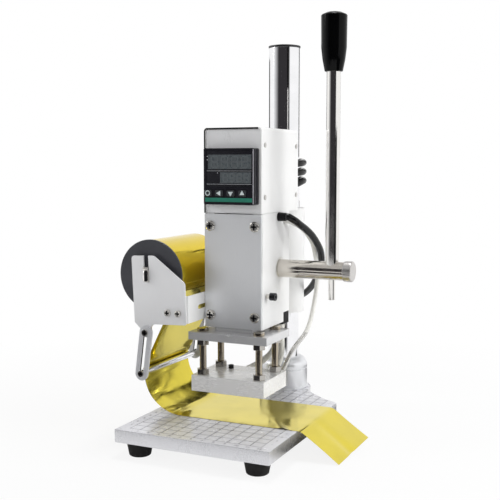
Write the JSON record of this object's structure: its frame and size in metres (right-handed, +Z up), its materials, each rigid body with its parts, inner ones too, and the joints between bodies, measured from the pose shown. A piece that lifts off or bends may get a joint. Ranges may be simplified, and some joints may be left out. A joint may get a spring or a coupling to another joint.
{
  "type": "hot foil stamping machine",
  "caption": "Hand-lever hot foil stamping press: heated block on a rack ram, head clamped on a chrome column, temperature controller box and a side foil roll",
  "frame": {"origin": "middle of the overall plan box, on the floor under the rubber feet; leads are left out of the box", "axes": "+Z up along the column, +X to the operator's right, +Y from the operator to the column"},
  "size_m": [0.2046, 0.2246, 0.3708],
  "materials": {
    "base_enamel": "clear-coated aluminium sheet with a printed 10 mm grid",
    "foot_rubber": "matte black rubber",
    "zinc_steel": "bright zinc-plated steel",
    "column_chrome": "polished chrome",
    "dark_steel": "blackened steel",
    "foot_white": "light grey gloss coat",
    "black_plastic": "black plastic, slight gloss",
    "gold_foil": "gold hot stamping foil, mirror-like with ripples",
    "white_paint": "white powder coat",
    "grey_panel": "light satin grey coat",
    "bush_bronze": "sintered bronze",
    "display_glass": "dark display window",
    "key_plastic": "dark green membrane keys with pale arrows",
    "rocker_red": "red rocker",
    "lead_black": "black sheathed lead",
    "bare_sheet": "bare bright sheet and bar",
    "sensor_white": "white sensor lead",
    "heater_sleeve": "cream glass-fibre sleeve",
    "shaft_chrome": "chromed steel bar",
    "press_steel": "milled steel and aluminium",
    "core_card": "card core"
  },
  "bodies": {
    "base": {"base_plate": "base_enamel", "rubber_feet": "foot_rubber", "foot_screws": "zinc_steel", "column": "column_chrome", "column_bolt": "dark_steel", "column_foot": "foot_white", "column_cap": "black_plastic", "foil_web": "gold_foil"},
    "head": {"head_housing": "white_paint", "front_cover": "grey_panel", "front_cover_screws": "zinc_steel", "shaft_bushes": "bush_bronze", "gib_plate": "bush_bronze", "gib_screw": "dark_steel", "clamp_bolts": "dark_steel", "control_box": "white_paint", "box_chassis": "grey_panel", "box_rivets": "zinc_steel", "controller_case": "black_plastic", "controller_bezel": "black_plastic", "display_lens": "display_glass", "mains_inlet": "black_plastic", "lead_glands": "black_plastic", "power_lead": "lead_black", "lead_winding": "lead_black", "foil_bracket": "bare_sheet", "bracket_screws": "zinc_steel", "front_side_plate": "bare_sheet", "rear_side_plate": "bare_sheet", "side_plate_screws": "zinc_steel", "arm_pivot_screws": "zinc_steel", "roll_axle": "bare_sheet", "heater_grommet": "black_plastic", "sensor_lead": "sensor_white", "heater_leads": "heater_sleeve", "return_spring": "zinc_steel"},
    "lever": {"lever_shaft": "shaft_chrome", "drive_pinion": "dark_steel", "shaft_cap": "shaft_chrome", "lever_rod": "shaft_chrome", "lever_knob": "black_plastic"},
    "ram": {"rack_ram": "press_steel", "upper_plate": "press_steel", "ram_screws": "dark_steel", "stud_bolts": "zinc_steel", "stud_nuts": "zinc_steel", "heater_block": "press_steel", "cartridge_heaters": "press_steel", "sensor_probe": "press_steel"},
    "roll": {"roll_flanges": "black_plastic", "roll_core": "core_card", "foil_roll": "gold_foil"},
    "guide": {"guide_arms": "bare_sheet", "guide_rod": "bare_sheet", "guide_screws": "zinc_steel"},
    "key_set_body": {"key_set": "key_plastic"},
    "key_shift_body": {"key_shift": "key_plastic"},
    "key_down_body": {"key_down": "key_plastic"},
    "key_up_body": {"key_up": "key_plastic"},
    "rocker": {"power_rocker": "rocker_red"}
  },
  "joints": [
    {"name": "head_height", "type": "slide", "parent": "base", "child": "head", "axis": [0, 0, 1], "range_m": [0, 0.09], "deforming": ["foil_web"]},
    {"name": "lever_turn", "type": "hinge", "parent": "head", "child": "lever", "pos_m": [-0.00397, 0.01025, 0.15], "axis": [1, 0, 0], "range_deg": [0, 84], "stiffness_Nm_per_rad": 0.35, "springref_deg": -57.3},
    {"name": "ram_slide", "type": "slide", "parent": "head", "child": "ram", "axis": [0, 0, -1], "range_m": [0, 0.01984], "deforming": ["return_spring", "sensor_lead", "heater_leads"]},
    {"name": "roll_spin", "type": "hinge", "parent": "head", "child": "roll", "pos_m": [-0.0713, -0.01375, 0.14626], "axis": [0, 1, 0], "continuous": true},
    {"name": "guide_swing", "type": "hinge", "parent": "head", "child": "guide", "pos_m": [-0.07156, -0.01375, 0.09679], "axis": [0, -1, 0], "range_deg": [0, 25]},
    {"name": "key_set_press", "type": "slide", "parent": "head", "child": "key_set_body", "axis": [0, 1, 0], "range_m": [0, 0.0008], "stiffness_N_per_m": 400, "springref_m": -0.0008},
    {"name": "key_shift_press", "type": "slide", "parent": "head", "child": "key_shift_body", "axis": [0, 1, 0], "range_m": [0, 0.0008], "stiffness_N_per_m": 400, "springref_m": -0.0008},
    {"name": "key_down_press", "type": "slide", "parent": "head", "child": "key_down_body", "axis": [0, 1, 0], "range_m": [0, 0.0008], "stiffness_N_per_m": 400, "springref_m": -0.0008},
    {"name": "key_up_press", "type": "slide", "parent": "head", "child": "key_up_body", "axis": [0, 1, 0], "range_m": [0, 0.0008], "stiffness_N_per_m": 400, "springref_m": -0.0008},
    {"name": "power_rock", "type": "hinge", "parent": "head", "child": "rocker", "pos_m": [-0.03182, 0.02625, 0.2507], "axis": [0, -1, 0], "range_deg": [0, 14]}
  ],
  "couplings": [
    {"joint": "ram_slide", "follows": "lever_turn", "m_per_rad": 0.0135}
  ]
}
